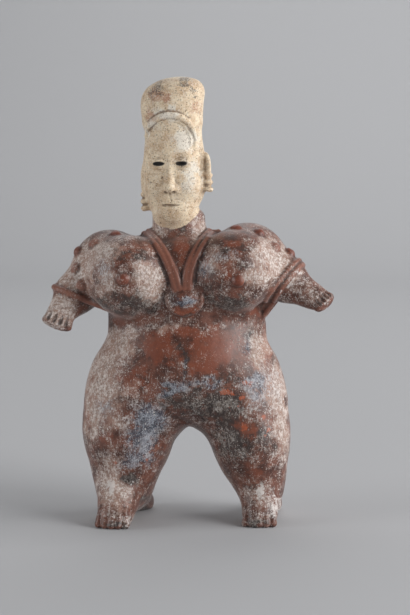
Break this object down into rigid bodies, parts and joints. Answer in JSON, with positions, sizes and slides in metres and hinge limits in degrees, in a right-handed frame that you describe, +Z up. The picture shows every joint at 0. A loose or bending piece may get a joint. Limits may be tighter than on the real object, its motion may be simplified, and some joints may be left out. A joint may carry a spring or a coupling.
{
  "type": "standing female statuette",
  "caption": "Hollow fired-clay statuette of a standing woman with broad hips, short outstretched arms, a tall flared headdress, a V-shaped necklace and an oval pendant.",
  "frame": {"origin": "middle of the figure's extent seen from above, on the surface that the soles stand on", "axes": "+Z up to the top of the headdress, +Y towards the figure's back so that she faces -Y, +X to her left"},
  "size_m": [0.1984, 0.0898, 0.3057],
  "materials": {
    "clay": "burnished red slip, worn, with dark mineral stains and whitish specks, and a pale cream slip on the head"
  },
  "bodies": {
    "root": {"statuette": "clay"}
  },
  "joints": []
}
